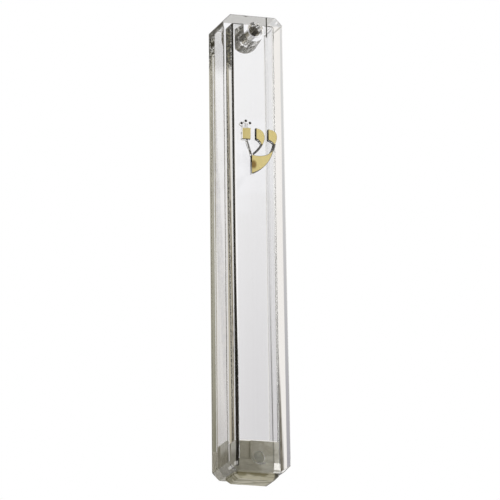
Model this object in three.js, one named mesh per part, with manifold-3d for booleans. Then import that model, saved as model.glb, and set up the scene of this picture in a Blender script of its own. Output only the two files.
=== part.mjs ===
// A clear moulded mezuzah case, about 12 cm tall: a door-post case for a rolled parchment.
//
// The case is one thick-walled block of clear plastic, hollow from its open lower end upwards.
// Its front outline has four clipped corners. A screw passes through it from front to back near
// the top, where a solid boss hangs into the chamber, and another near the bottom, where it also
// passes through a soft grey plug that closes the mouth. The letter Shin stands on the front in
// low relief, moulded with the case, and its broad faces carry gold foil.
//
// Units are millimetres. +Z is up, the front faces -Y, and the origin is the centre of the flat
// back face that lies against the door post.

import * as THREE from 'three';
import { mergeVertices } from 'three/addons/utils/BufferGeometryUtils.js';
import Module from 'manifold-3d';

const wasm = await Module();
wasm.setup();

// ---- Driving dimensions -------------------------------------------------------------------

// The case widens and deepens a little towards its mouth, so that it leaves its mould.
const CASE_HEIGHT = 120;
const TOP_WIDTH = 15.9;
const MOUTH_WIDTH = 16.6;
const TOP_DEPTH = 12;
const MOUTH_DEPTH = 13;
const CORNER_CLIP = 1.9;

// The side walls thin out a little towards the top, and the chamber lies to the right of the
// middle, more so at its top.
const MOUTH_SIDE_WALL = 2.4;
const TOP_SIDE_WALL = 2.2;
const MOUTH_CHAMBER_X = 0.15;
const TOP_CHAMBER_X = 0.35;
const FRONT_WALL = 1.7;
const BACK_WALL = 2.4;
const TOP_WALL = 1.9;

// Each front corner of the chamber is a narrow flat facet, turned by an angle from the side wall,
// and then a rounding.
const BACK_ROUND = 0.3;
const FACET_LENGTH = 0.55;
const FACET_ANGLE = THREE.MathUtils.degToRad(30);
const FRONT_ROUND = 0.75;

// Screw holes, countersunk on the front face. Neither is quite on the centre line.
const BORE_RADIUS = 1.5;
const SINK_RADIUS = 2.05;
const SINK_DEPTH = 0.7;
const TOP_HOLE_X = 0.65;
const TOP_HOLE_INSET = 3.7;
const BOTTOM_HOLE_X = 0.3;
const BOTTOM_HOLE_INSET = 3.9;
const BOSS_FRONT_RADIUS = 2.7;
const BOSS_BACK_RADIUS = 3.8;

const PLUG_CLEARANCE = 0.15;
const PLUG_HEIGHT = 8.25;
const PLUG_FOOT = 1.5;
const PLUG_CHAMFER = 1;

// A shallow recess in the upper left of the plug's front.
const STEP_DEPTH = 0.5;
const STEP_EDGE = -2;
const STEP_FLOOR = 3.2;

const LETTER_RELIEF = 1;
const LETTER_X = 0.6;
const LETTER_Z = 24.3;
const FOIL_THICKNESS = 0.15;
const FOIL_GAP = 0.02;
const FOIL_MARGIN = 0.12;

// Reach past a face, so that a cut never leaves a skin behind.
const OVERCUT = 2;
const ROUND_SEGMENTS = 48;
const CURVE_SEGMENTS = 10;

const TOP_Z = CASE_HEIGHT / 2;
const MOUTH_Z = -CASE_HEIGHT / 2;
const CEILING_Z = TOP_Z - TOP_WALL;
const TOP_HOLE_Z = TOP_Z - TOP_HOLE_INSET;
const BOTTOM_HOLE_Z = MOUTH_Z + BOTTOM_HOLE_INSET;
const PLUG_TOP_Z = MOUTH_Z + PLUG_HEIGHT;
const LETTER_FACE = depthAt(LETTER_Z) + LETTER_RELIEF;

// ---- Materials ----------------------------------------------------------------------------

function material(color, roughness, metalness, opacity = 1) {
  return new THREE.MeshStandardMaterial({ color, roughness, metalness, opacity, transparent: opacity < 1 });
}

const clearPlastic = material(0xeceff0, 0.05, 0, 0.35);
const softGreyPlug = material(0x8f8b7c, 0.55, 0);
const goldFoil = material(0xc8b46e, 0.3, 1);

// ---- The taper of the case ----------------------------------------------------------------

function alongHeight(atMouth, atTop, z) {
  return THREE.MathUtils.mapLinear(z, MOUTH_Z, TOP_Z, atMouth, atTop);
}

function widthAt(z) {
  return alongHeight(MOUTH_WIDTH, TOP_WIDTH, z);
}

function depthAt(z) {
  return alongHeight(MOUTH_DEPTH, TOP_DEPTH, z);
}

function chamberWidthAt(z) {
  return widthAt(z) - 2 * alongHeight(MOUTH_SIDE_WALL, TOP_SIDE_WALL, z);
}

function chamberDepthAt(z) {
  return depthAt(z) - FRONT_WALL - BACK_WALL;
}

function chamberXAt(z) {
  return alongHeight(MOUTH_CHAMBER_X, TOP_CHAMBER_X, z);
}

// ---- Solids -------------------------------------------------------------------------------

function toSolid(geometry) {
  geometry.deleteAttribute('normal');
  geometry.deleteAttribute('uv');
  const merged = mergeVertices(geometry, 1e-5);
  return new wasm.Manifold(new wasm.Mesh({
    numProp: 3,
    vertProperties: new Float32Array(merged.attributes.position.array),
    triVerts: new Uint32Array(merged.index.array),
  }));
}

function toMesh(name, solid, finish) {
  const { vertProperties, triVerts } = solid.getMesh();
  const geometry = new THREE.BufferGeometry();
  geometry.setAttribute('position', new THREE.BufferAttribute(vertProperties, 3));
  geometry.setIndex(new THREE.BufferAttribute(triVerts, 1));
  geometry.computeVertexNormals();
  const mesh = new THREE.Mesh(geometry, finish);
  mesh.name = name;
  return mesh;
}

// Moves every vertex of a geometry to where place(x, y, z) says.
function reshape(geometry, place) {
  const position = geometry.attributes.position;
  for (let i = 0; i < position.count; i += 1) {
    position.setXYZ(i, ...place(position.getX(i), position.getY(i), position.getZ(i)));
  }
  return geometry;
}

// A front-view outline (x across, z up) given thickness from one distance in front of the back
// face to another.
function fromFront(outline, near, far) {
  const geometry = new THREE.ExtrudeGeometry(outline, {
    depth: far - near,
    bevelEnabled: false,
    curveSegments: CURVE_SEGMENTS,
  });
  geometry.rotateX(Math.PI / 2);
  geometry.translate(0, -near, 0);
  return geometry;
}

function box(width, depth, height, x, y, z) {
  return toSolid(new THREE.BoxGeometry(width, depth, height).translate(x, y, z));
}

// A round bar or cone that lies from back to front, centred on x and z.
function crossBar(backRadius, frontRadius, near, far, x, z) {
  const geometry = new THREE.CylinderGeometry(backRadius, frontRadius, far - near, ROUND_SEGMENTS);
  return toSolid(geometry.translate(x, -(near + far) / 2, z));
}

// The chamber's outline from above, with its front at -y.
function chamberOutline(width, depth) {
  const [x, y] = [width / 2, depth / 2];
  const frontX = x - FACET_LENGTH * Math.sin(FACET_ANGLE) - FRONT_ROUND * Math.cos(FACET_ANGLE);
  const facetY = y - FRONT_ROUND * (1 - Math.sin(FACET_ANGLE)) - FACET_LENGTH * Math.cos(FACET_ANGLE);
  const outline = new THREE.Shape();
  outline.absarc(x - BACK_ROUND, y - BACK_ROUND, BACK_ROUND, 0, Math.PI / 2);
  outline.absarc(BACK_ROUND - x, y - BACK_ROUND, BACK_ROUND, Math.PI / 2, Math.PI);
  outline.lineTo(-x, -facetY);
  outline.absarc(-frontX, FRONT_ROUND - y, FRONT_ROUND, Math.PI + FACET_ANGLE, 1.5 * Math.PI);
  outline.absarc(frontX, FRONT_ROUND - y, FRONT_ROUND, 1.5 * Math.PI, 2 * Math.PI - FACET_ANGLE);
  outline.lineTo(x, -facetY);
  return outline;
}

// The chamber's section between two heights, less a clearance all round, with the case's taper.
function chamberBlock(lowZ, highZ, clearance) {
  const width = chamberWidthAt(MOUTH_Z) - 2 * clearance;
  const depth = chamberDepthAt(MOUTH_Z) - 2 * clearance;
  const geometry = new THREE.ExtrudeGeometry(chamberOutline(width, depth), {
    depth: highZ - lowZ,
    bevelEnabled: false,
    curveSegments: CURVE_SEGMENTS,
  });
  geometry.translate(0, 0, lowZ);
  reshape(geometry, (x, y, z) => {
    const narrowing = (chamberWidthAt(z) - 2 * clearance) / width;
    const shallowing = (chamberDepthAt(z) - 2 * clearance) / depth;
    const middle = -BACK_WALL - chamberDepthAt(z) / 2;
    return [chamberXAt(z) + x * narrowing, middle + y * shallowing, z];
  });
  return toSolid(geometry);
}

// ---- Case ---------------------------------------------------------------------------------

function caseBlock() {
  const topSide = widthAt(TOP_Z - CORNER_CLIP) / 2;
  const mouthSide = widthAt(MOUTH_Z + CORNER_CLIP) / 2;
  const topEnd = TOP_WIDTH / 2 - CORNER_CLIP;
  const mouthEnd = MOUTH_WIDTH / 2 - CORNER_CLIP;
  const outline = new THREE.Shape([
    new THREE.Vector2(-mouthEnd, MOUTH_Z),
    new THREE.Vector2(mouthEnd, MOUTH_Z),
    new THREE.Vector2(mouthSide, MOUTH_Z + CORNER_CLIP),
    new THREE.Vector2(topSide, TOP_Z - CORNER_CLIP),
    new THREE.Vector2(topEnd, TOP_Z),
    new THREE.Vector2(-topEnd, TOP_Z),
    new THREE.Vector2(-topSide, TOP_Z - CORNER_CLIP),
    new THREE.Vector2(-mouthSide, MOUTH_Z + CORNER_CLIP),
  ]);
  const block = fromFront(outline, 0, 1);
  return toSolid(reshape(block, (x, y, z) => [x, y * depthAt(z), z]));
}

// The solid tongue that hangs from the ceiling round the top screw hole, wider towards the back.
function screwBoss() {
  const near = BACK_WALL / 2;
  const far = depthAt(TOP_HOLE_Z) - FRONT_WALL / 2;
  const height = CEILING_Z + TOP_WALL / 2 - TOP_HOLE_Z;
  const neck = new THREE.BoxGeometry(2, far - near, height);
  neck.translate(0, -(near + far) / 2, TOP_HOLE_Z + height / 2);
  reshape(neck, (x, y, z) => {
    const halfWidth = THREE.MathUtils.mapLinear(-y, near, far, BOSS_BACK_RADIUS, BOSS_FRONT_RADIUS);
    return [TOP_HOLE_X + x * halfWidth, y, z];
  });
  return crossBar(BOSS_BACK_RADIUS, BOSS_FRONT_RADIUS, near, far, TOP_HOLE_X, TOP_HOLE_Z).add(toSolid(neck));
}

function screwHole(x, z) {
  const front = depthAt(z);
  const bore = crossBar(BORE_RADIUS, BORE_RADIUS, -OVERCUT, front + OVERCUT, x, z);
  const slope = (SINK_RADIUS - BORE_RADIUS) / SINK_DEPTH;
  const mouthRadius = SINK_RADIUS + OVERCUT * slope;
  const sink = crossBar(BORE_RADIUS, mouthRadius, front - SINK_DEPTH, front + OVERCUT, x, z);
  return bore.add(sink);
}

function caseBody() {
  const block = caseBlock();
  return block
    .subtract(chamberBlock(MOUTH_Z - OVERCUT, CEILING_Z, 0))
    .add(screwBoss().intersect(block))
    .subtract(screwHole(TOP_HOLE_X, TOP_HOLE_Z))
    .subtract(screwHole(BOTTOM_HOLE_X, BOTTOM_HOLE_Z))
    .add(letterRelief());
}

// ---- Plug ---------------------------------------------------------------------------------

// A block that widens at 45 degrees upwards, which chamfers the plug's foot when they intersect.
function footFlare(footZ) {
  const height = PLUG_TOP_Z + OVERCUT - footZ;
  const width = chamberWidthAt(MOUTH_Z) - 2 * (PLUG_CLEARANCE + PLUG_CHAMFER);
  const depth = chamberDepthAt(MOUTH_Z) - 2 * (PLUG_CLEARANCE + PLUG_CHAMFER);
  const flare = new THREE.BoxGeometry(width, depth, height);
  flare.translate(0, 0, footZ + height / 2);
  reshape(flare, (x, y, z) => {
    const growth = z - footZ;
    const middle = -BACK_WALL - chamberDepthAt(MOUTH_Z) / 2;
    return [chamberXAt(z) + x + Math.sign(x) * growth, middle + y + Math.sign(y) * growth, z];
  });
  return toSolid(flare);
}

function bottomPlug() {
  const front = depthAt(BOTTOM_HOLE_Z);
  const footZ = MOUTH_Z - PLUG_FOOT;
  const shank = chamberBlock(footZ, PLUG_TOP_Z, PLUG_CLEARANCE).intersect(footFlare(footZ));
  const stepWidth = MOUTH_WIDTH / 2 + STEP_EDGE;
  const stepDepth = FRONT_WALL + PLUG_CLEARANCE + STEP_DEPTH;
  const stepHeight = PLUG_HEIGHT - STEP_FLOOR + OVERCUT;
  const step = box(
    stepWidth,
    stepDepth,
    stepHeight,
    STEP_EDGE - stepWidth / 2,
    stepDepth / 2 - front,
    MOUTH_Z + STEP_FLOOR + stepHeight / 2,
  );
  const bore = crossBar(BORE_RADIUS, BORE_RADIUS, 0, front, BOTTOM_HOLE_X, BOTTOM_HOLE_Z);
  return shank.subtract(step).subtract(bore);
}

// ---- Letter -------------------------------------------------------------------------------
// Each stroke is drawn about the letter's own centre, x across and y up, and a margin draws it
// smaller for the foil that lies on it.

function leftHead(margin) {
  const outline = new THREE.Shape();
  outline.moveTo(-4.3 + margin, 5.15 - margin);
  outline.lineTo(-1.95 - margin, 5.25 - margin);
  outline.lineTo(-2.0 - margin, 2.2 + margin);
  outline.lineTo(-4.3 + margin, 2.1 + margin);
  return outline;
}

function middleHead(margin) {
  const outline = new THREE.Shape();
  outline.moveTo(-0.6 + margin, 5.3 - margin);
  outline.quadraticCurveTo(1.75 - margin, 5.0 - margin, 1.75 - margin, 2.9);
  outline.quadraticCurveTo(1.65 - margin, 1.7, 0.95, 0.8 + margin);
  outline.quadraticCurveTo(0.5, 2.1 + margin, -0.6 + margin, 2.4 + margin);
  return outline;
}

function rightHead(margin) {
  const outline = new THREE.Shape();
  outline.moveTo(2.65 + margin, 5.2 - margin);
  outline.quadraticCurveTo(5.05 - margin, 5.2 - margin, 5.05 - margin, 3.4);
  outline.quadraticCurveTo(5.05 - margin, 2.4, 4.35, 1.2 + margin);
  outline.quadraticCurveTo(3.8, 2.1 + margin, 2.65 + margin, 2.3 + margin);
  return outline;
}

function base(margin) {
  const outline = new THREE.Shape();
  outline.moveTo(-1.85 + margin, -1.85 - margin);
  outline.quadraticCurveTo(1.9, -2.6 - margin, 4.05 - 2 * margin, -0.2 - 2 * margin);
  outline.quadraticCurveTo(2.8 - margin, -5.1 + margin, -1.95 + margin, -6.95 + 2 * margin);
  return outline;
}

// A thin stroke between two points, bowed sideways at its middle and square at both ends.
function stroke(startX, startY, endX, endY, bow, width) {
  const start = new THREE.Vector2(startX, startY);
  const end = new THREE.Vector2(endX, endY);
  const run = end.clone().sub(start).normalize();
  const side = new THREE.Vector2(run.y, -run.x);
  const middle = start.clone().add(end).multiplyScalar(0.5);
  const offset = (point, distance) => point.clone().addScaledVector(side, distance);
  const near = width / 2;
  const [outerStart, outerEnd] = [offset(start, near), offset(end, near)];
  const [innerStart, innerEnd] = [offset(start, -near), offset(end, -near)];
  const outerBow = offset(middle, bow + near);
  const innerBow = offset(middle, bow - near);
  const outline = new THREE.Shape();
  outline.moveTo(outerStart.x, outerStart.y);
  outline.quadraticCurveTo(outerBow.x, outerBow.y, outerEnd.x, outerEnd.y);
  outline.lineTo(innerEnd.x, innerEnd.y);
  outline.quadraticCurveTo(innerBow.x, innerBow.y, innerStart.x, innerStart.y);
  return outline;
}

function thinStrokes() {
  return [
    stroke(-3.1, 2.4, -1.75, -2.2, 0, 0.4),
    stroke(1.1, 1.4, -1.8, -1.9, -0.6, 0.55),
    stroke(4.4, 1.6, 3.5, -0.8, -0.3, 0.6),
  ];
}

// Three short crown strokes fan out above the left head, each with a thick tip.
function crownStrokes() {
  const fanX = -3.25;
  const fanY = 5;
  const tips = [[-4.4, 6.3], [fanX, 7.0], [-2.15, 6.5]];
  const stems = tips.map(([x, y]) => stroke(fanX + (x - fanX) * 0.4, fanY, x, y, 0, 0.25));
  const dots = tips.map(([x, y]) => new THREE.Shape().absarc(x, y, 0.44, 0, 2 * Math.PI));
  return [...stems, ...dots];
}

function onFrontFace(outline, near, far) {
  return toSolid(fromFront(outline, near, far).translate(LETTER_X, 0, LETTER_Z));
}

function letterRelief() {
  const strokes = [leftHead(0), middleHead(0), rightHead(0), base(0), ...thinStrokes(), ...crownStrokes()];
  const rooted = LETTER_FACE - 1.5 * LETTER_RELIEF;
  return strokes
    .map((outline) => onFrontFace(outline, rooted, LETTER_FACE))
    .reduce((letter, part) => letter.add(part));
}

function goldFlake(drawStroke) {
  const near = LETTER_FACE + FOIL_GAP;
  return onFrontFace(drawStroke(FOIL_MARGIN), near, near + FOIL_THICKNESS);
}

// ---- Assembly -----------------------------------------------------------------------------

const mezuzahCase = new THREE.Group();
mezuzahCase.add(
  toMesh('case_body', caseBody(), clearPlastic),
  toMesh('bottom_plug', bottomPlug(), softGreyPlug),
  toMesh('shin_foil_left_head', goldFlake(leftHead), goldFoil),
  toMesh('shin_foil_middle_head', goldFlake(middleHead), goldFoil),
  toMesh('shin_foil_right_head', goldFlake(rightHead), goldFoil),
  toMesh('shin_foil_base', goldFlake(base), goldFoil),
);

export default mezuzahCase;
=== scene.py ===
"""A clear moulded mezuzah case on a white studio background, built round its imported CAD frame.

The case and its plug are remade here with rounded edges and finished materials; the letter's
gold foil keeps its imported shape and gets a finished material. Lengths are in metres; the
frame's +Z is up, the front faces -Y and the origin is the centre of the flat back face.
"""

from math import cos, pi, radians, sin

import bmesh
import bpy
from mathutils import Matrix, Vector


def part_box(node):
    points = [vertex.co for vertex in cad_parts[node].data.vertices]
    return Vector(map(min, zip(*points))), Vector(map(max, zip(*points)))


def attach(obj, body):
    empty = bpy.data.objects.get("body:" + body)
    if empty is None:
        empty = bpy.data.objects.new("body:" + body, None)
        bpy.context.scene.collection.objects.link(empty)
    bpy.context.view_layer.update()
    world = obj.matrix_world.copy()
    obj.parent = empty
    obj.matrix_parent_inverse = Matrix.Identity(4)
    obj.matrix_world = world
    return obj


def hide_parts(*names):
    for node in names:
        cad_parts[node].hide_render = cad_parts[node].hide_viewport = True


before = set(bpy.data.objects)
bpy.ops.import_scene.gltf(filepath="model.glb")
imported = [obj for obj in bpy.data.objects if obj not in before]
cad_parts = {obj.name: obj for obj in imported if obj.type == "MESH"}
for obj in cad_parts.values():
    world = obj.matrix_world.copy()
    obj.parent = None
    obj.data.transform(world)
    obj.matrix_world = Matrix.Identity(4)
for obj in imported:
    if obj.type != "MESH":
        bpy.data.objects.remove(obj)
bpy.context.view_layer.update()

# ---- Sizes ----------------------------------------------------------------------------------

MM = 0.001

CASE_LOW, CASE_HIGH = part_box("case_body")
PLUG_LOW, PLUG_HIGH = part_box("bottom_plug")

# The case's outer form: width and depth at the mouth and at the top.
MOUTH_Z, TOP_Z = CASE_LOW.z, CASE_HIGH.z
TOP_WIDTH, MOUTH_WIDTH = 15.9 * MM, 16.6 * MM
TOP_DEPTH, MOUTH_DEPTH = 12.0 * MM, 13.0 * MM
CORNER_CLIP = 1.9 * MM
EDGE_ROUND = 0.22 * MM

# The chamber's walls: the side walls thin out towards the top, and the chamber lies to the right.
MOUTH_SIDE_WALL, TOP_SIDE_WALL = 2.4 * MM, 2.2 * MM
MOUTH_CHAMBER_X, TOP_CHAMBER_X = 0.15 * MM, 0.35 * MM
FRONT_WALL, BACK_WALL, TOP_WALL = 1.7 * MM, 2.4 * MM, 1.9 * MM
BACK_ROUND, FRONT_ROUND = 0.3 * MM, 0.75 * MM
FACET_LENGTH, FACET_ANGLE = 0.55 * MM, radians(30)
CEILING_Z = TOP_Z - TOP_WALL

# The strip of specks on the back slants away from the left edge upwards.
STRIP_MOUTH_X, STRIP_TOP_X = -7.71 * MM, -5.86 * MM

# The middle height of the raised letter. The feet of its crown and of its left head, and the
# crown's tips (as x and height), are measured from there.
LETTER_Z = 24.3 * MM
CROWN_FOOT, HEAD_FOOT = 5.3 * MM, 2.3 * MM
CROWN_TIPS = ((-3.8 * MM, 6.3 * MM), (-2.65 * MM, 7.0 * MM), (-1.55 * MM, 6.5 * MM))

BORE_RADIUS, SINK_RADIUS, SINK_DEPTH = 1.5 * MM, 2.05 * MM, 0.7 * MM
TOP_HOLE_X, TOP_HOLE_Z = 0.65 * MM, TOP_Z - 3.7 * MM
BOTTOM_HOLE_X, BOTTOM_HOLE_Z = 0.3 * MM, MOUTH_Z + 3.9 * MM
BOSS_FRONT_RADIUS, BOSS_BACK_RADIUS = 2.7 * MM, 3.8 * MM

# The plug is squeezed into the mouth, so that it touches the walls all round; its foot below the
# mouth is smaller. The step in its front lies left of an edge and above a floor.
PLUG_FOOT_Z, PLUG_TOP_Z = PLUG_LOW.z, PLUG_HIGH.z
PLUG_CLEARANCE, PLUG_SQUEEZE = 0.15 * MM, 0.02 * MM
PLUG_CHAMFER, PLUG_ROUNDING = 1.0 * MM, 0.25 * MM
PLUG_FLARE, PLUG_FLARE_DEPTH = 0.45 * MM, 1.2 * MM
STEP_EDGE, STEP_FLOOR, STEP_DEPTH = -2.0 * MM, 3.2 * MM, 0.5 * MM

# ---- Camera and studio ----------------------------------------------------------------------

CAMERA_LEFT = radians(18.7)
CAMERA_BELOW = radians(15.7)
CAMERA_ROLL = radians(-0.70)
CAMERA_DISTANCE = 1.5
CAMERA_LENS = 425
AIM_RIGHT, AIM_DOWN = 0.4 * MM, 0.69 * MM
FLOOR_DROP, FLOOR_HALF = 1.8, 12
SOFTBOX_PLACE = Vector((0.55, -0.6, 0.45))
SOFTBOX_SIZE, SOFTBOX_POWER = 0.5, 9
BOARD_LOW, BOARD_HIGH = -70 * MM, 95 * MM

# Light passes many faces of the clear plastic; with fewer bounces some of them would turn black.
LIGHT_BOUNCES = 32


def add_camera():
    """The viewpoint: from the left and from below, a little tilted, with a long lens."""
    middle = Vector((0, (TOP_DEPTH + MOUTH_DEPTH) / -4, (TOP_Z + MOUTH_Z) / 2))
    back = Vector((
        -sin(CAMERA_LEFT) * cos(CAMERA_BELOW),
        -cos(CAMERA_LEFT) * cos(CAMERA_BELOW),
        -sin(CAMERA_BELOW),
    ))
    level = (-back).cross(Vector((0, 0, 1))).normalized()
    upright = level.cross(-back)
    right = level * cos(CAMERA_ROLL) + upright * sin(CAMERA_ROLL)
    up = upright * cos(CAMERA_ROLL) - level * sin(CAMERA_ROLL)
    aim = middle + right * AIM_RIGHT - up * AIM_DOWN
    data = bpy.data.cameras.new("camera")
    data.lens = CAMERA_LENS
    data.clip_start = 0.01
    data.clip_end = 50
    camera = bpy.data.objects.new("camera", data)
    turn = Matrix((right, up, back)).transposed().to_4x4()
    camera.matrix_world = Matrix.Translation(aim + back * CAMERA_DISTANCE) @ turn
    bpy.context.scene.collection.objects.link(camera)
    bpy.context.scene.camera = camera


# ---- Mesh helpers ---------------------------------------------------------------------------


def link(name, mesh):
    obj = bpy.data.objects.new(name, mesh)
    bpy.context.scene.collection.objects.link(obj)
    return obj


def from_bmesh(name, bm):
    bmesh.ops.recalc_face_normals(bm, faces=bm.faces)
    mesh = bpy.data.meshes.new(name)
    bm.to_mesh(mesh)
    bm.free()
    return link(name, mesh)


def loft(name, rings):
    """A closed solid through rings of points, all of one length, from one end to the other."""
    bm = bmesh.new()
    rows = [[bm.verts.new(point) for point in ring] for ring in rings]
    count = len(rings[0])
    for low, high in zip(rows, rows[1:]):
        for i in range(count):
            following = (i + 1) % count
            bm.faces.new((low[i], low[following], high[following], high[i]))
    bm.faces.new(reversed(rows[0]))
    bm.faces.new(rows[-1])
    return from_bmesh(name, bm)


def settle(obj):
    """Applies an object's modifiers to its mesh."""
    graph = bpy.context.evaluated_depsgraph_get()
    mesh = bpy.data.meshes.new_from_object(obj.evaluated_get(graph))
    obj.modifiers.clear()
    obj.data = mesh


def boolean(obj, tool, operation):
    """Joins a tool solid to obj or cuts it away, and removes the tool."""
    step = obj.modifiers.new("boolean", "BOOLEAN")
    step.operation = operation
    step.solver = "EXACT"
    step.object = tool
    settle(obj)
    bpy.data.objects.remove(tool)


def smooth(obj, angle=35):
    """Smooth shading across the roundings, with the broad faces kept flat."""
    for face in obj.data.polygons:
        face.use_smooth = True
    obj.data.set_sharp_from_angle(angle=radians(angle))
    weighted = obj.modifiers.new("weighted", "WEIGHTED_NORMAL")
    weighted.keep_sharp = True
    weighted.weight = 100


# ---- The case's taper and sections ----------------------------------------------------------


def at_height(mouth, top, z):
    return mouth + (top - mouth) * (z - MOUTH_Z) / (TOP_Z - MOUTH_Z)


def width_at(z):
    return at_height(MOUTH_WIDTH, TOP_WIDTH, z)


def depth_at(z):
    return at_height(MOUTH_DEPTH, TOP_DEPTH, z)


def arc(x, y, radius, start, end, steps=10):
    """Points along an arc about x and y, between two angles."""
    angles = [start + (end - start) * step / steps for step in range(steps + 1)]
    return [(x + radius * cos(angle), y + radius * sin(angle)) for angle in angles]


def chamber_ring(z, inset=0.0):
    """The chamber's section at one height, less an inset all round: rounded at the back, and at
    each front corner a narrow facet and then a rounding."""
    half_width = width_at(z) / 2 - at_height(MOUTH_SIDE_WALL, TOP_SIDE_WALL, z) - inset
    back = -BACK_WALL - inset
    front = FRONT_WALL + inset - depth_at(z)
    back_round = max(BACK_ROUND - inset, 0.1 * MM)
    front_round = max(FRONT_ROUND - inset, 0.1 * MM)
    front_x = half_width - FACET_LENGTH * sin(FACET_ANGLE) - front_round * cos(FACET_ANGLE)
    facet_y = front + front_round * (1 - sin(FACET_ANGLE)) + FACET_LENGTH * cos(FACET_ANGLE)
    right = [
        *arc(front_x, front + front_round, front_round, -pi / 2, -FACET_ANGLE),
        (half_width, facet_y),
        *arc(half_width - back_round, back - back_round, back_round, 0, pi / 2),
    ]
    left = [(-x, y) for x, y in reversed(right)]
    middle = at_height(MOUTH_CHAMBER_X, TOP_CHAMBER_X, z)
    return [Vector((middle + x, y, z)) for x, y in right + left]


# ---- Case -----------------------------------------------------------------------------------


def case_block():
    """The outer form: a tapered block with four clipped corners, its edges lightly rounded except
    round the flat back."""
    clip = CORNER_CLIP
    outline = []
    for z, inward in ((MOUTH_Z, clip), (MOUTH_Z + clip, 0), (TOP_Z - clip, 0), (TOP_Z, clip)):
        width = MOUTH_WIDTH if z == MOUTH_Z else TOP_WIDTH if z == TOP_Z else width_at(z)
        outline.append((width / 2 - inward, z))
    outline += [(-x, z) for x, z in reversed(outline)]
    front = [Vector((x, -depth_at(z), z)) for x, z in outline]
    back = [Vector((x, 0, z)) for x, z in outline]
    block = loft("case_shell", [front, back])
    bm = bmesh.new()
    bm.from_mesh(block.data)
    rounded = [edge for edge in bm.edges if min(vert.co.y for vert in edge.verts) < -MM]
    bmesh.ops.bevel(bm, geom=rounded, offset=EDGE_ROUND, segments=3, profile=0.5,
                    affect="EDGES", clamp_overlap=True)
    bm.to_mesh(block.data)
    bm.free()
    return block


def chamber():
    """The hollow: drafted, with a filleted ceiling."""
    fillet = 0.5 * MM
    steps = 5
    rings = [chamber_ring(MOUTH_Z - 2 * MM)]
    for step in range(steps + 1):
        angle = step / steps * pi / 2
        rings.append(chamber_ring(CEILING_Z - fillet + fillet * sin(angle), fillet * (1 - cos(angle))))
    return loft("chamber", rings)


def screw_boss():
    """The solid tongue round the top screw, hanging from the ceiling and wider at the back."""
    steps = 40
    top = CEILING_Z + TOP_WALL / 2
    sections = []
    for y, radius in (
        (-BACK_WALL / 2, BOSS_BACK_RADIUS),
        (FRONT_WALL / 2 - depth_at(TOP_HOLE_Z), BOSS_FRONT_RADIUS),
    ):
        outline = [(TOP_HOLE_X + radius, top), (TOP_HOLE_X - radius, top)]
        outline += arc(TOP_HOLE_X, TOP_HOLE_Z, radius, pi, 2 * pi, steps)
        sections.append([Vector((x, y, z)) for x, z in outline])
    return loft("boss", sections)


def turned(name, profile, x, z, steps=64):
    """A solid turned about a front-to-back axis through x and z, from (y, radius) pairs."""
    rings = []
    for y, radius in profile:
        angles = [2 * pi * step / steps for step in range(steps)]
        rings.append([Vector((x + radius * cos(a), y, z + radius * sin(a))) for a in angles])
    return loft(name, rings)


def screw_hole(x, z):
    """A bore from front to back with a countersink, its rims barely rounded."""
    front = -depth_at(z)
    rim = 0.12 * MM
    profile = (
        (front - MM, SINK_RADIUS + rim),
        (front, SINK_RADIUS + rim),
        (front + rim, SINK_RADIUS),
        (front + SINK_DEPTH, BORE_RADIUS),
        (-rim, BORE_RADIUS),
        (0, BORE_RADIUS + rim),
        (MM, BORE_RADIUS + rim),
    )
    return turned("hole", profile, x, z)


def letter_relief():
    """The raised letter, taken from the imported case: what stands proud of its front face."""
    root = 0.5 * MM
    bm = bmesh.new()
    bm.from_mesh(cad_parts["case_body"].data)
    bmesh.ops.remove_doubles(bm, verts=bm.verts, dist=0.002 * MM)
    middles = [(face, face.calc_center_median()) for face in bm.faces]
    plain = [face for face, middle in middles if -depth_at(middle.z) - middle.y < 0.1 * MM]
    bmesh.ops.delete(bm, geom=plain, context="FACES")
    rim = [e for e in bm.edges if e.is_boundary]
    grown = bmesh.ops.extrude_edge_only(bm, edges=rim)["geom"]
    moved = [g for g in grown if isinstance(g, bmesh.types.BMVert)]
    bmesh.ops.translate(bm, verts=moved, vec=(0, root, 0))
    bmesh.ops.holes_fill(bm, edges=[e for e in bm.edges if e.is_boundary])
    return from_bmesh("relief", bm)


def make_case():
    case = case_block()
    boolean(case, chamber(), "DIFFERENCE")
    boolean(case, screw_boss(), "UNION")
    boolean(case, screw_hole(TOP_HOLE_X, TOP_HOLE_Z), "DIFFERENCE")
    boolean(case, screw_hole(BOTTOM_HOLE_X, BOTTOM_HOLE_Z), "DIFFERENCE")
    boolean(case, letter_relief(), "UNION")
    smooth(case)
    case.data.materials.append(clear_plastic())
    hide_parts("case_body")
    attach(case, "case")


# ---- Plug -----------------------------------------------------------------------------------


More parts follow.
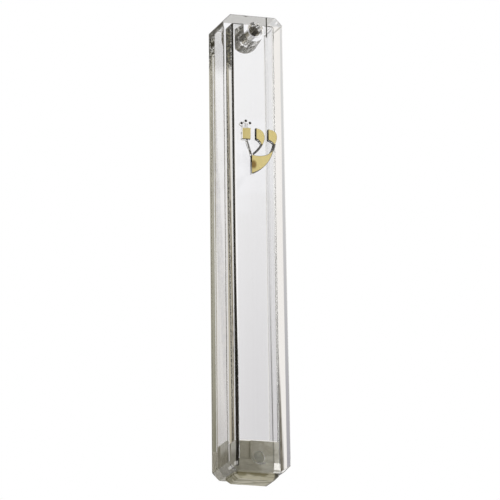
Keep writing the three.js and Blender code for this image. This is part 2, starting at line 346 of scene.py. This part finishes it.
def make_plug():
    """The soft plug: a block pressed into the mouth, chamfered where it stands out below, with a
    bore that opens out at the front and a shallow step in the upper left of its front."""
    rings = [
        chamber_ring(PLUG_FOOT_Z, PLUG_CLEARANCE + PLUG_CHAMFER),
        chamber_ring(PLUG_FOOT_Z + PLUG_CHAMFER, PLUG_CLEARANCE),
        chamber_ring(MOUTH_Z - 0.05 * MM, PLUG_CLEARANCE),
        chamber_ring(MOUTH_Z, -PLUG_SQUEEZE),
        chamber_ring(PLUG_TOP_Z - PLUG_ROUNDING, -PLUG_SQUEEZE),
        chamber_ring(PLUG_TOP_Z - PLUG_ROUNDING * 0.3, PLUG_ROUNDING * 0.3),
        chamber_ring(PLUG_TOP_Z, PLUG_ROUNDING),
    ]
    plug = loft("plug_body", rings)
    front = FRONT_WALL - depth_at(BOTTOM_HOLE_Z)
    profile = (
        (front - MM, BORE_RADIUS + PLUG_FLARE),
        (front, BORE_RADIUS + PLUG_FLARE),
        (front + PLUG_FLARE_DEPTH, BORE_RADIUS),
        (MM, BORE_RADIUS),
    )
    boolean(plug, turned("bore", profile, BOTTOM_HOLE_X, BOTTOM_HOLE_Z), "DIFFERENCE")
    floor_z = MOUTH_Z + STEP_FLOOR
    back = FRONT_WALL + PLUG_CLEARANCE + STEP_DEPTH - depth_at(floor_z)
    outline = (
        (STEP_EDGE - MOUTH_WIDTH, floor_z),
        (STEP_EDGE, floor_z),
        (STEP_EDGE, PLUG_TOP_Z + MM),
        (STEP_EDGE - MOUTH_WIDTH, PLUG_TOP_Z + MM),
    )
    step = loft("step", [[Vector((x, y, z)) for x, z in outline] for y in (-MOUTH_DEPTH, back)])
    boolean(plug, step, "DIFFERENCE")
    smooth(plug)
    plug.data.materials.append(grey_plug())
    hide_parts("bottom_plug")
    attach(plug, "plug")


# ---- Shader helpers -------------------------------------------------------------------------


def new_material(name, **values):
    made = bpy.data.materials.new(name)
    made.use_nodes = True
    shader = made.node_tree.nodes["Principled BSDF"]
    for socket, value in values.items():
        shader.inputs[socket.replace("_", " ")].default_value = value
    return made, made.node_tree, shader


def add_node(tree, kind, **settings):
    made = tree.nodes.new("ShaderNode" + kind)
    for name, value in settings.items():
        setattr(made, name, value)
    return made


def feed(tree, socket, value):
    """Links value to a socket, or sets it there when it is a number or a colour."""
    if isinstance(value, bpy.types.NodeSocket):
        tree.links.new(value, socket)
    elif isinstance(value, tuple) and len(value) == 3 and socket.type == "RGBA":
        socket.default_value = (*value, 1)
    else:
        socket.default_value = value


def math(tree, operation, *values):
    made = add_node(tree, "Math", operation=operation)
    for socket, value in zip(made.inputs, values):
        feed(tree, socket, value)
    return made.outputs["Value"]


def product(tree, first, *others):
    for other in others:
        first = math(tree, "MULTIPLY", first, other)
    return first


def most(tree, first, *others):
    """The largest of the values."""
    for other in others:
        first = math(tree, "MAXIMUM", first, other)
    return first


def minus(tree, value, amount):
    return math(tree, "SUBTRACT", value, amount)


def ranged(tree, factor, at_none, at_full):
    """A value that runs with the factor from one number to another."""
    return math(tree, "MULTIPLY_ADD", factor, at_full - at_none, at_none)


def distance(tree, across, up):
    """How far a point lies from the one that both values are measured from."""
    across_squared = math(tree, "MULTIPLY", across, across)
    return math(tree, "SQRT", math(tree, "MULTIPLY_ADD", up, up, across_squared))


def smooth_step(tree, value, low, high):
    """0 up to low, 1 from high on, and smooth between; low may be the larger one."""
    made = add_node(tree, "MapRange", interpolation_type="SMOOTHSTEP")
    low_end, high_end = min(low, high), max(low, high)
    for name, number in (("Value", value), ("From Min", low_end), ("From Max", high_end)):
        feed(tree, made.inputs[name], number)
    made.inputs["To Min"].default_value = 0.0 if low < high else 1.0
    made.inputs["To Max"].default_value = 1.0 if low < high else 0.0
    return made.outputs["Result"]


def within(tree, value, low, high, blur):
    """1 between low and high, falling to 0 over blur on each side."""
    rise = smooth_step(tree, value, low - blur, low)
    fall = smooth_step(tree, value, high + blur, high)
    return math(tree, "MULTIPLY", rise, fall)


def mix(tree, factor, first, second):
    made = add_node(tree, "Mix", data_type="RGBA")
    for socket, value in zip((made.inputs[0], made.inputs[6], made.inputs[7]), (factor, first, second)):
        feed(tree, socket, value)
    return made.outputs[2]


def colours(tree, value, low, high, stops):
    """Colours along a value: each stop is (value, colour), between the values low and high."""
    made = add_node(tree, "ValToRGB")
    scaled = add_node(tree, "MapRange")
    for name, number in (("Value", value), ("From Min", low), ("From Max", high)):
        feed(tree, scaled.inputs[name], number)
    tree.links.new(scaled.outputs["Result"], made.inputs["Fac"])
    elements = made.color_ramp.elements
    while len(elements) < len(stops):
        elements.new(1)
    for element, (place, colour) in zip(elements, stops):
        element.position = (place - low) / (high - low)
        element.color = (*colour, 1)
    return made.outputs["Color"]


def noise(tree, scale, stretch=(1, 1, 1), detail=2.0):
    """Noise over the object's own coordinates, with features about 1 / scale metres across."""
    place = add_node(tree, "Mapping", vector_type="POINT")
    place.inputs["Scale"].default_value = stretch
    tree.links.new(add_node(tree, "TexCoord").outputs["Object"], place.inputs["Vector"])
    made = add_node(tree, "TexNoise")
    made.inputs["Scale"].default_value = scale
    made.inputs["Detail"].default_value = detail
    tree.links.new(place.outputs["Vector"], made.inputs["Vector"])
    return made.outputs["Fac"]


def bump(tree, height, rise):
    """Surface relief that stands up by rise where the height is 1."""
    made = add_node(tree, "Bump")
    feed(tree, made.inputs["Height"], height)
    made.inputs["Distance"].default_value = rise
    return made.outputs["Normal"]


def object_axes(tree):
    """The x, y and z of the point being shaded, in metres."""
    split = add_node(tree, "SeparateXYZ")
    tree.links.new(add_node(tree, "TexCoord").outputs["Object"], split.inputs["Vector"])
    return split.outputs


# ---- Materials ------------------------------------------------------------------------------

WHITE = (1.0, 1.0, 1.0)
# The colour of the painted shade on the plastic and the plug.
DARK = (0.010, 0.007, 0.004)


def slanted(tree, z, at_mouth, at_top):
    """A value that runs evenly from the case's mouth to its top."""
    slope = (at_top - at_mouth) / (TOP_Z - MOUTH_Z)
    return math(tree, "MULTIPLY_ADD", z, slope, at_mouth - slope * MOUTH_Z)


def corner_shade_lines(tree, x, y, z):
    """How much painted shade the chamber's walls carry, from 0 to 1: black lines along its two front
    corners, the left one wider towards the mouth, and a fainter line that slants up its right wall."""
    mouth_half = MOUTH_WIDTH / 2 - MOUTH_SIDE_WALL
    top_half = TOP_WIDTH / 2 - TOP_SIDE_WALL
    left_wall = slanted(tree, z, MOUTH_CHAMBER_X - mouth_half, TOP_CHAMBER_X - top_half)
    right_wall = slanted(tree, z, MOUTH_CHAMBER_X + mouth_half, TOP_CHAMBER_X + top_half)
    front_wall = slanted(tree, z, FRONT_WALL - MOUTH_DEPTH, FRONT_WALL - TOP_DEPTH)
    line_y = slanted(tree, z, -5.5 * MM, -2.7 * MM)
    low = smooth_step(tree, z, 0.0, -45 * MM)
    widening = math(tree, "MULTIPLY", low, 0.35 * MM)
    from_left = minus(tree, minus(tree, x, left_wall), widening)
    from_right = minus(tree, right_wall, x)
    at_front = within(tree, minus(tree, y, front_wall), 0.03 * MM, 0.9 * MM, 0.03 * MM)
    left_line = product(tree, at_front, within(tree, from_left, -0.33 * MM, 0.42 * MM, 0.03 * MM))
    right_line = product(
        tree, at_front, ranged(tree, low, 0.5, 1.0),
        within(tree, from_right, -0.05 * MM, 0.45 * MM, 0.03 * MM))
    wall_line = product(
        tree, ranged(tree, low, 0.15, 0.75),
        within(tree, from_right, -0.05 * MM, 0.3 * MM, 0.05 * MM),
        within(tree, minus(tree, y, line_y), -0.3 * MM, 0.3 * MM, 0.1 * MM))
    below_ceiling = math(tree, "LESS_THAN", z, CEILING_Z)
    return product(tree, below_ceiling, most(tree, left_line, right_line, wall_line))


def letter_shade(tree, x, z, proud, facing):
    """How much painted shade the raised letter carries, from 0 to 1: on its sides, its thin strokes,
    the rims round its foil and the three tips of its crown. On its left head and left stroke only
    the sides that face down carry it."""
    up = minus(tree, z, LETTER_Z)
    below_crown = math(tree, "LESS_THAN", up, CROWN_FOOT)
    left_part = product(
        tree, math(tree, "LESS_THAN", x, -0.9 * MM), math(tree, "GREATER_THAN", up, -2.0 * MM))
    plain_side = product(tree, left_part, math(tree, "GREATER_THAN", facing["Z"], -0.7))
    mottle = smooth_step(tree, noise(tree, 900, detail=3), 0.30, 0.42)
    sides = product(
        tree, below_crown, ranged(tree, mottle, 0.7, 1.0), minus(tree, 1.0, plain_side),
        math(tree, "GREATER_THAN", proud, 0.08 * MM),
        math(tree, "LESS_THAN", math(tree, "ABSOLUTE", facing["Y"]), 0.5))
    rims = product(tree, below_crown, minus(tree, 1.0, left_part), 0.93)
    under_head = product(
        tree, left_part, within(tree, up, HEAD_FOOT - 0.4 * MM, HEAD_FOOT, 0.03 * MM))
    # The left stroke leans to the right as it comes down.
    from_stroke = math(tree, "ADD", x, math(tree, "MULTIPLY_ADD", up, 0.294, 1.8 * MM))
    left_stroke = product(
        tree, left_part, math(tree, "LESS_THAN", up, HEAD_FOOT),
        within(tree, from_stroke, -0.1 * MM, 0.1 * MM, 0.05 * MM), 0.85)
    tips = []
    for tip_x, tip_up in CROWN_TIPS:
        from_tip = distance(tree, minus(tree, x, tip_x), minus(tree, up, tip_up))
        tips.append(smooth_step(tree, from_tip, 0.42 * MM, 0.28 * MM))
    front = product(
        tree, math(tree, "GREATER_THAN", proud, 0.9 * MM), math(tree, "LESS_THAN", facing["Y"], -0.5))
    return most(tree, sides, product(tree, front, most(tree, rims, under_head, left_stroke, *tips)))


def clip_shade(tree, x, z, facing, hatch):
    """How much painted shade the clipped corners, the side face at the upper left one and the lower
    right edge carry, from 0 to 1."""
    clip_z = TOP_Z - CORNER_CLIP
    rounding = within(tree, facing["Y"], -0.97, -0.1, 0.01)
    right_side = math(tree, "GREATER_THAN", facing["X"], 0.1)
    downward = product(tree, right_side, math(tree, "LESS_THAN", facing["Z"], -0.1))
    corners = product(
        tree, rounding, most(tree, downward, math(tree, "GREATER_THAN", facing["Z"], 0.1)),
        math(tree, "GREATER_THAN", math(tree, "ABSOLUTE", z), clip_z - 0.4 * MM), 0.8)
    right_edge = product(
        tree, rounding, math(tree, "GREATER_THAN", facing["X"], 0.2),
        math(tree, "GREATER_THAN", x, 7 * MM),
        smooth_step(tree, z, -10 * MM, -40 * MM),
        smooth_step(tree, z, MOUTH_Z + CORNER_CLIP, MOUTH_Z + 4 * MM), 0.75)
    left_shade = product(
        tree, ranged(tree, hatch, 0.45, 0.75), math(tree, "LESS_THAN", facing["X"], -0.9),
        math(tree, "LESS_THAN", x, -7 * MM),
        smooth_step(tree, z, clip_z - 1.8 * MM, clip_z - 1.4 * MM))
    return most(tree, corners, right_edge, left_shade)


def back_marks(tree, x, y, z, hatch):
    """How dark the back is, from 0 to 1: a strip of specks near its left edge, and dark hatched
    patches at its upper left."""
    on_back = math(tree, "GREATER_THAN", y, -0.05 * MM)
    from_strip = minus(tree, x, slanted(tree, z, STRIP_MOUTH_X, STRIP_TOP_X))
    specks = smooth_step(tree, noise(tree, 2600, detail=4), 0.44, 0.56)
    strip = product(
        tree, on_back, ranged(tree, specks, 0.35, 0.9),
        within(tree, from_strip, -0.25 * MM, 0.25 * MM, 0.15 * MM))
    upper_left_patches = product(
        tree, on_back, hatch,
        smooth_step(tree, x, -5.2 * MM, -5.5 * MM),
        smooth_step(tree, z, 47 * MM, 49 * MM), 0.8)
    return most(tree, strip, upper_left_patches)


def clear_plastic():
    """Clear moulded plastic: glossy and faintly streaky, with painted shade in olive and dark stripes
    in the top bore, painted shade along the chamber's corners, on the letter and round the clipped
    corners, and dark marks on the back."""
    made, tree, shader = new_material("clear_plastic", Roughness=0.0, IOR=1.49)
    x, y, z = object_axes(tree)
    split = add_node(tree, "SeparateXYZ")
    tree.links.new(add_node(tree, "NewGeometry").outputs["Normal"], split.inputs["Vector"])
    facing = split.outputs
    proud = minus(tree, slanted(tree, z, -MOUTH_DEPTH, -TOP_DEPTH), y)
    hatch = smooth_step(tree, noise(tree, 900, (1.0, 0.4, 1.6), detail=4), 0.42, 0.52)
    # Painted shade in the top bore: an olive tint with dark stripes.
    from_bore = distance(tree, minus(tree, x, TOP_HOLE_X), minus(tree, z, TOP_HOLE_Z))
    in_bore = product(
        tree, math(tree, "LESS_THAN", from_bore, BORE_RADIUS + 0.05 * MM),
        within(tree, y, -10 * MM, -0.7 * MM, 0.1 * MM))
    stripes = smooth_step(tree, noise(tree, 900, (1.0, 0.03, 1.0)), 0.46, 0.53)
    # A short line of painted shade on the front, down the boss's right side.
    boss_line = product(
        tree, within(tree, x, 3.5 * MM, 3.75 * MM, 0.06 * MM),
        math(tree, "GREATER_THAN", proud, -0.3 * MM),
        math(tree, "GREATER_THAN", z, TOP_Z - 5.5 * MM))
    dark = most(
        tree,
        corner_shade_lines(tree, x, y, z),
        letter_shade(tree, x, z, proud, facing),
        clip_shade(tree, x, z, facing, hatch),
        back_marks(tree, x, y, z, hatch),
        product(tree, in_bore, ranged(tree, stripes, 0.2, 0.85)),
        boss_line)
    clear = mix(tree, in_bore, WHITE, (0.62, 0.56, 0.44))
    streaks = noise(tree, 400, (1, 1, 0.04))
    tree.links.new(mix(tree, dark, clear, DARK), shader.inputs["Base Color"])
    tree.links.new(minus(tree, 1.0, dark), shader.inputs["Transmission Weight"])
    tree.links.new(bump(tree, streaks, 0.004 * MM), shader.inputs["Normal"])
    return made


def plug_left_highlight(tree, x, y, up):
    """1 on the band of painted light high up the plug's left side."""
    return product(
        tree, smooth_step(tree, x, -5.2 * MM, -5.5 * MM), smooth_step(tree, y, -4.6 * MM, -5.0 * MM),
        smooth_step(tree, up, 4.4 * MM, 6.5 * MM))


def plug_body(tree, x, y, up):
    """The plug's mottled grey, with painted light that makes it paler to the right, round the bore,
    at its foot and high up its left side."""
    patches = smooth_step(tree, noise(tree, 330, detail=3), 0.42, 0.6)
    dim = mix(tree, noise(tree, 700, detail=3), (0.62, 0.59, 0.48), (0.84, 0.81, 0.69))
    # Painted light: paler towards the right.
    pale = mix(tree, smooth_step(tree, x, -2.2 * MM, 2 * MM), dim, (1.0, 0.98, 0.87))
    body = mix(tree, patches, pale, dim)
    hole_up = BOTTOM_HOLE_Z - MOUTH_Z
    from_hole = distance(tree, minus(tree, x, BOTTOM_HOLE_X), minus(tree, up, hole_up))
    # Painted light round the bore, at the foot and on the band up the left side.
    body = mix(tree, smooth_step(tree, from_hole, 1.62 * MM, 1.52 * MM), body, (1.0, 1.0, 0.94))
    foot = product(
        tree, smooth_step(tree, x, 0.3 * MM, 1.5 * MM), smooth_step(tree, up, 1.8 * MM, 1.4 * MM))
    return mix(tree, most(tree, foot, plug_left_highlight(tree, x, y, up)), body, (1.0, 0.98, 0.88))


def plug_glints(tree, x, y, up):
    """How bright the plug's surface glints, from 0 to 1: most at its foot and along its top rim,
    and a little in bands down its left and right."""
    front = smooth_step(tree, y, -9.6 * MM, -10.0 * MM)
    right_foot = product(
        tree, front, smooth_step(tree, x, 4.1 * MM, 4.2 * MM),
        within(tree, up, 0.8 * MM, 2.5 * MM, 0.1 * MM))
    left_foot = product(
        tree, smooth_step(tree, x, -5.2 * MM, -5.4 * MM), smooth_step(tree, y, -8 * MM, -8.4 * MM),
        within(tree, up, 1.7 * MM, 2.5 * MM, 0.15 * MM), 0.45)
    right_band = product(
        tree, front, smooth_step(tree, x, 4.3 * MM, 4.45 * MM),
        math(tree, "GREATER_THAN", up, 2.6 * MM))
    bands = product(tree, most(tree, right_band, plug_left_highlight(tree, x, y, up)), 0.17)
    rim = PLUG_TOP_Z - MOUTH_Z
    top_rim = smooth_step(tree, up, rim - 0.28 * MM, rim - 0.16 * MM)
    return most(tree, right_foot, left_foot, bands, top_rim)


def grey_plug():
    """Soft translucent grey plastic: mottled, with painted shade in dark lines down its front's two
    sides, painted glints that glow in patches at its foot and along its top rim, and on its
    underside painted shade with olive swirls of painted reflection."""
    made, tree, shader = new_material(
        "grey_plug", Roughness=0.4, Coat_Weight=0.4, Coat_Roughness=0.2, IOR=1.45,
        Emission_Color=(1.0, 0.98, 0.93, 1))
    x, y, z = object_axes(tree)
    up = minus(tree, z, MOUTH_Z)
    swirl = noise(tree, 420, (0.5, 2.0, 1.0), detail=4)
    glints = plug_glints(tree, x, y, up)
    body = mix(tree, glints, plug_body(tree, x, y, up), (1.0, 1.0, 0.98))
    # The underside: painted shade, with swirls of painted reflection.
    under = mix(tree, smooth_step(tree, swirl, 0.42, 0.56), (0.66, 0.62, 0.46), (0.30, 0.27, 0.15))
    base = mix(tree, smooth_step(tree, up, 0.2 * MM, -0.2 * MM), body, under)
    above_mouth = smooth_step(tree, up, 1.2 * MM, 1.6 * MM)
    # Painted shade: a dark line up the right of the front, and the right part below the mouth darkened.
    right_shade_line = product(tree, above_mouth, within(tree, x, 3.95 * MM, 4.2 * MM, 0.08 * MM), 0.35)
    right_chamfer = product(
        tree, smooth_step(tree, x, 4.3 * MM, 4.9 * MM),
        smooth_step(tree, up, 0.2 * MM, -0.1 * MM), 0.85)
    lines = product(tree, corner_shade_lines(tree, x, y, z), above_mouth)
    dark = most(tree, lines, right_shade_line, right_chamfer)
    tree.links.new(mix(tree, dark, base, DARK), shader.inputs["Base Color"])
    # The painted glints glow.
    tree.links.new(product(tree, glints, 0.6), shader.inputs["Emission Strength"])
    tree.links.new(bump(tree, swirl, 0.8 * MM), shader.inputs["Normal"])
    return made


def gold_foil():
    """Stamped gold foil: satin, a little uneven, and worn brown at the foot of the letter."""
    made, tree, shader = new_material("gold_foil", Metallic=1.0)
    x, _, z = object_axes(tree)
    uneven = noise(tree, 700, detail=3)
    bright = mix(tree, uneven, (0.95, 0.78, 0.33), (1.0, 0.86, 0.42))
    worn_x, worn_z = -0.75 * MM, LETTER_Z - 4.4 * MM
    across = math(tree, "DIVIDE", minus(tree, x, worn_x), 1.05 * MM)
    up = math(tree, "DIVIDE", minus(tree, z, worn_z), 1.5 * MM)
    worn = product(tree, smooth_step(tree, distance(tree, across, up), 1.0, 0.4), 0.95)
    tree.links.new(mix(tree, worn, bright, (0.34, 0.21, 0.07)), shader.inputs["Base Color"])
    tree.links.new(ranged(tree, uneven, 0.22, 0.37), shader.inputs["Roughness"])
    tree.links.new(bump(tree, uneven, 0.01 * MM), shader.inputs["Normal"])
    return made


def make_foil():
    gold = gold_foil()
    for name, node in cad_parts.items():
        if name.startswith("shin_foil"):
            node.data.materials.clear()
            node.data.materials.append(gold)


# ---- Stage ----------------------------------------------------------------------------------


def add_world():
    """The studio round the case. The camera sees plain white; the plastic shows a pale backdrop
    that brightens upwards, a bright right side, a dark left side and a dim olive room in front."""
    world = bpy.data.worlds.new("studio")
    bpy.context.scene.world = world
    world.use_nodes = True
    tree = world.node_tree
    background = tree.nodes["Background"]
    split = add_node(tree, "SeparateXYZ")
    tree.links.new(add_node(tree, "TexCoord").outputs["Generated"], split.inputs["Vector"])
    x, y, z = split.outputs
    backdrop = colours(tree, z, -1, 1, (
        (-1.0, (0.50, 0.50, 0.50)),
        (-0.2, (0.64, 0.64, 0.65)),
        (0.20, (0.65, 0.64, 0.66)),
        (0.25, (0.77, 0.76, 0.78)),
        (0.30, (0.95, 0.95, 0.97)),
        (0.60, (1.04, 1.04, 1.05)),
    ))
    room = colours(tree, z, -1, 1, (
        (-0.5, (0.16, 0.15, 0.11)),
        (0.20, (0.18, 0.18, 0.13)),
        (0.245, (0.24, 0.235, 0.18)),
        (0.30, (0.46, 0.44, 0.36)),
        (0.60, (0.70, 0.68, 0.60)),
        (1.00, (1.00, 1.00, 1.00)),
    ))
    dark = colours(tree, z, -1, 1, ((-0.4, (0.16, 0.14, 0.10)), (0.1, (0.012, 0.01, 0.006))))
    sky = mix(tree, smooth_step(tree, y, -0.2, 0.2), room, backdrop)
    back_left = product(tree, within(tree, x, -0.5, -0.15, 0.1), smooth_step(tree, y, 0.3, 0.6))
    sky = mix(tree, back_left, sky, (0.92, 0.89, 0.86))
    sky = mix(tree, smooth_step(tree, x, 0.5, 0.75), sky, (1.0, 0.98, 0.95))
    sky = mix(tree, smooth_step(tree, x, -0.31, -0.37), sky, dark)
    seen = add_node(tree, "LightPath").outputs["Is Camera Ray"]
    tree.links.new(mix(tree, seen, sky, WHITE), background.inputs["Color"])


def add_card(name, left, right, low, high, y, colour):
    """A flat upright card that glows, near the case: the plastic and the gold show it, but the
    camera doesn't. Its colour is a plain one or a function that makes one from a node tree."""
    bm = bmesh.new()
    corners = ((left, y, low), (right, y, low), (right, y, high), (left, y, high))
    bm.faces.new([bm.verts.new(corner) for corner in corners])
    card = from_bmesh(name, bm)
    made = bpy.data.materials.new(name)
    made.use_nodes = True
    tree = made.node_tree
    tree.nodes.remove(tree.nodes["Principled BSDF"])
    glow = add_node(tree, "Emission")
    feed(tree, glow.inputs["Color"], colour(tree) if callable(colour) else colour)
    tree.links.new(glow.outputs["Emission"], tree.nodes["Material Output"].inputs["Surface"])
    card.data.materials.append(made)
    card.visible_camera = False


def board_left(tree, x, z):
    """The board's left part. Its left end runs from dark olive up to pale grey and is crossed by a
    slanting mottled band; the rest is brown on the left and grey on the right."""
    outer = colours(tree, z, BOARD_LOW, BOARD_HIGH, (
        (-50 * MM, (0.16, 0.15, 0.11)),
        (-36 * MM, (0.30, 0.26, 0.19)),
        (-26 * MM, (0.60, 0.56, 0.46)),
        (70 * MM, (0.85, 0.83, 0.80)),
    ))
    grain = noise(tree, 1200, (1, 1, 0.4), detail=4)
    olive = mix(tree, smooth_step(tree, grain, 0.4, 0.6), (0.12, 0.10, 0.07), (0.36, 0.32, 0.24))
    from_band = math(tree, "ADD", x, math(tree, "MULTIPLY_ADD", z, -0.048, 24.7 * MM))
    in_band = within(tree, from_band, -0.6 * MM, 0.6 * MM, 0.6 * MM)
    grey = colours(tree, z, BOARD_LOW, BOARD_HIGH, (
        (-50 * MM, (0.36, 0.35, 0.38)),
        (50 * MM, (0.68, 0.68, 0.68)),
    ))
    inner = mix(tree, smooth_step(tree, x, -14 * MM, -10 * MM), (0.50, 0.46, 0.37), grey)
    at_left_end = smooth_step(tree, x, -21.6 * MM, -22.2 * MM)
    return mix(tree, at_left_end, inner, mix(tree, in_band, outer, olive))


def board_colour(tree):
    """The board's colours: its left part, with painted shade, dark and mottled, along the top, and a
    white right end with a dark patch of painted shade low down."""
    x, _, z = object_axes(tree)
    mottle = smooth_step(tree, noise(tree, 350, (1, 1, 0.3), detail=4), 0.4, 0.6)
    shade = mix(tree, mottle, (0.08, 0.07, 0.04), (0.24, 0.22, 0.15))
    at_top = product(
        tree, smooth_step(tree, z, 60 * MM, 64 * MM), smooth_step(tree, x, -10 * MM, -14 * MM))
    left = mix(tree, at_top, board_left(tree, x, z), shade)
    # Painted shade: a dark mottled patch low on the right end.
    from_dark_patch = minus(tree, x, math(tree, "MULTIPLY_ADD", z, 0.025, -5.4 * MM))
    in_dark_patch = product(
        tree, smooth_step(tree, from_dark_patch, -0.2 * MM, 0.4 * MM),
        smooth_step(tree, z, -12 * MM, -26 * MM))
    grain = noise(tree, 1200, (1, 1, 0.4), detail=4)
    dark_patch = mix(tree, grain, (0.04, 0.035, 0.025), (0.30, 0.27, 0.22))
    right = mix(tree, in_dark_patch, (0.92, 0.89, 0.86), dark_patch)
    return mix(tree, smooth_step(tree, x, -7.5 * MM, -7.3 * MM), left, right)


def add_cards():
    """A board behind the case on its left, which gives the plastic its tones, and a small pale
    card in front on the right, which the gold reflects."""
    add_card("board", -40 * MM, -4.2 * MM, BOARD_LOW, BOARD_HIGH, 40 * MM, board_colour)
    add_card("gold_card", 5.2 * MM, 17 * MM, 22 * MM, 42 * MM, -40 * MM, (0.76, 0.76, 0.76))


def add_softbox():
    """One broad soft light from the front, above and to the right, which isn't seen itself."""
    data = bpy.data.lights.new("softbox", "AREA")
    data.size = SOFTBOX_SIZE
    data.energy = SOFTBOX_POWER
    softbox = bpy.data.objects.new("softbox", data)
    softbox.location = SOFTBOX_PLACE
    softbox.rotation_euler = (-SOFTBOX_PLACE).to_track_quat("-Z", "Y").to_euler()
    softbox.visible_camera = False
    softbox.visible_glossy = False
    softbox.visible_transmission = False
    bpy.context.scene.collection.objects.link(softbox)


def add_floor():
    bm = bmesh.new()
    corners = ((-1, -1), (1, -1), (1, 1), (-1, 1))
    low = MOUTH_Z - FLOOR_DROP
    bm.faces.new([bm.verts.new((x * FLOOR_HALF, y * FLOOR_HALF, low)) for x, y in corners])
    floor = from_bmesh("floor", bm)
    made, tree, shader = new_material("floor", Roughness=0.8)
    tree.links.new(
        mix(tree, noise(tree, 3), (0.84, 0.84, 0.84), (0.88, 0.88, 0.88)), shader.inputs["Base Color"])
    floor.data.materials.append(made)


add_camera()
make_case()
make_plug()
make_foil()
add_world()
add_cards()
add_softbox()
add_floor()

bpy.context.scene.view_settings.view_transform = "Standard"
bpy.context.scene.cycles.max_bounces = LIGHT_BOUNCES
bpy.context.scene.cycles.transmission_bounces = LIGHT_BOUNCES
bpy.context.scene.cycles.glossy_bounces = LIGHT_BOUNCES
